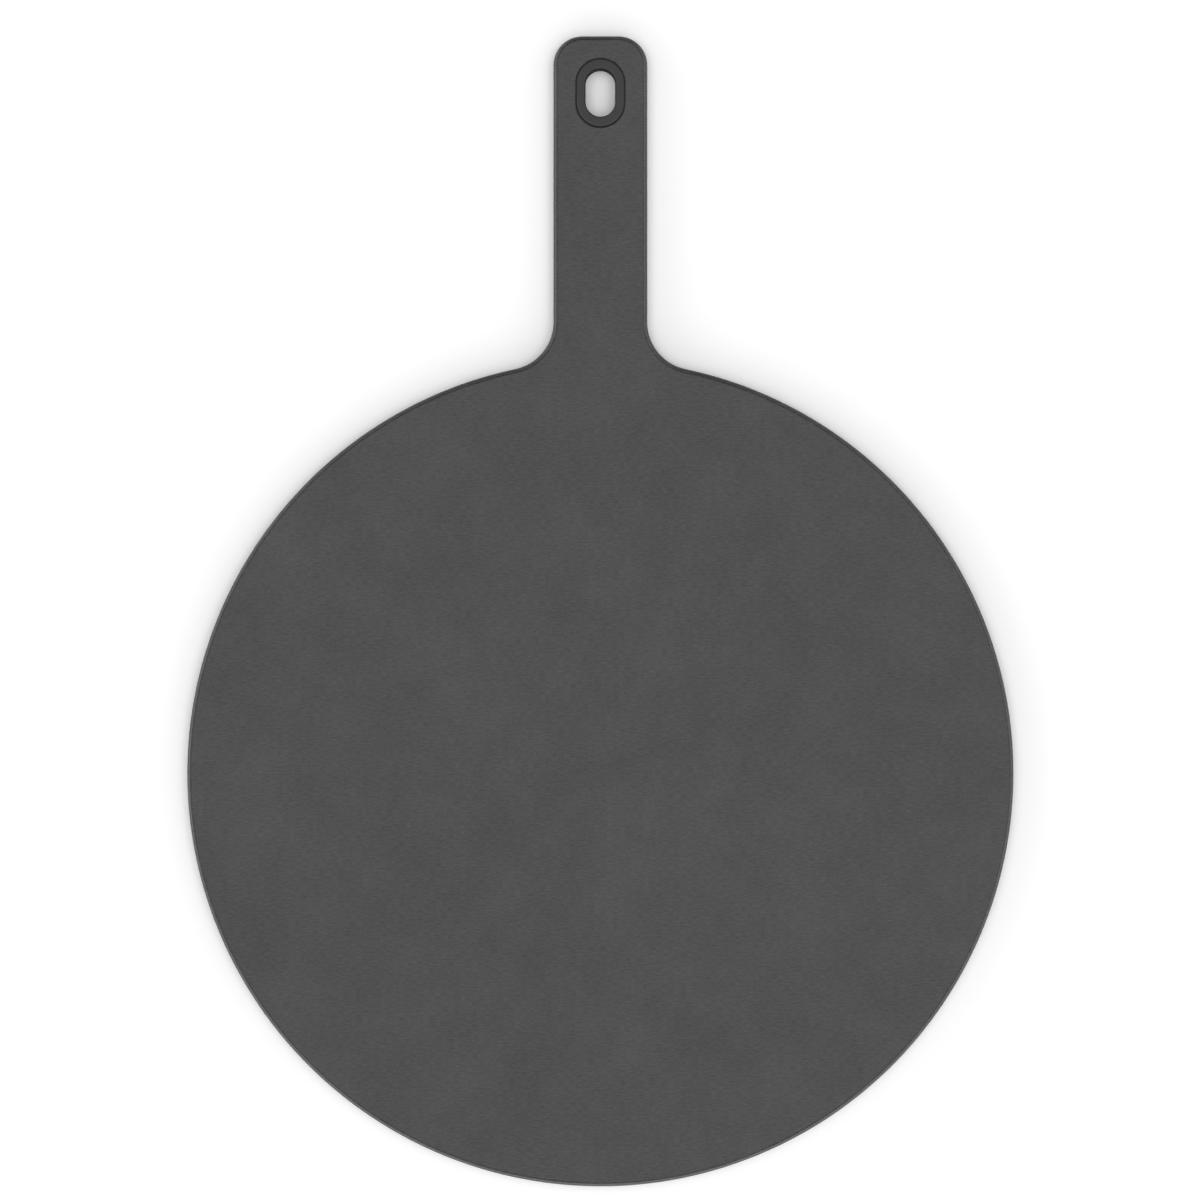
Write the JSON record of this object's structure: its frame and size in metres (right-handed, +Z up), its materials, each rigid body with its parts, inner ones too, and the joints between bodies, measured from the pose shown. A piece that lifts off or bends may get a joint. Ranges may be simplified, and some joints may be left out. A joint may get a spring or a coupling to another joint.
{
  "type": "pizza serving board",
  "caption": "Thin round serving board with a straight flat handle, curved-in necks, rounded edges and a soft oval grommet in the hanging slot.",
  "frame": {"origin": "centre of the round part, on the flat underside that the board rests on", "axes": "+Z up out of the serving face, +Y out along the handle, +X to the right with the handle pointing away"},
  "size_m": [0.3556, 0.4949, 0.006],
  "materials": {
    "fibre_board": "pressed wood-fibre composite, dark neutral grey, matt with a faint sheen, fine fibre streaks and soft mottling",
    "soft_grommet": "moulded silicone, dark grey, matt and smooth"
  },
  "bodies": {
    "root": {"board": "fibre_board", "hanging_grommet": "soft_grommet"}
  },
  "joints": []
}
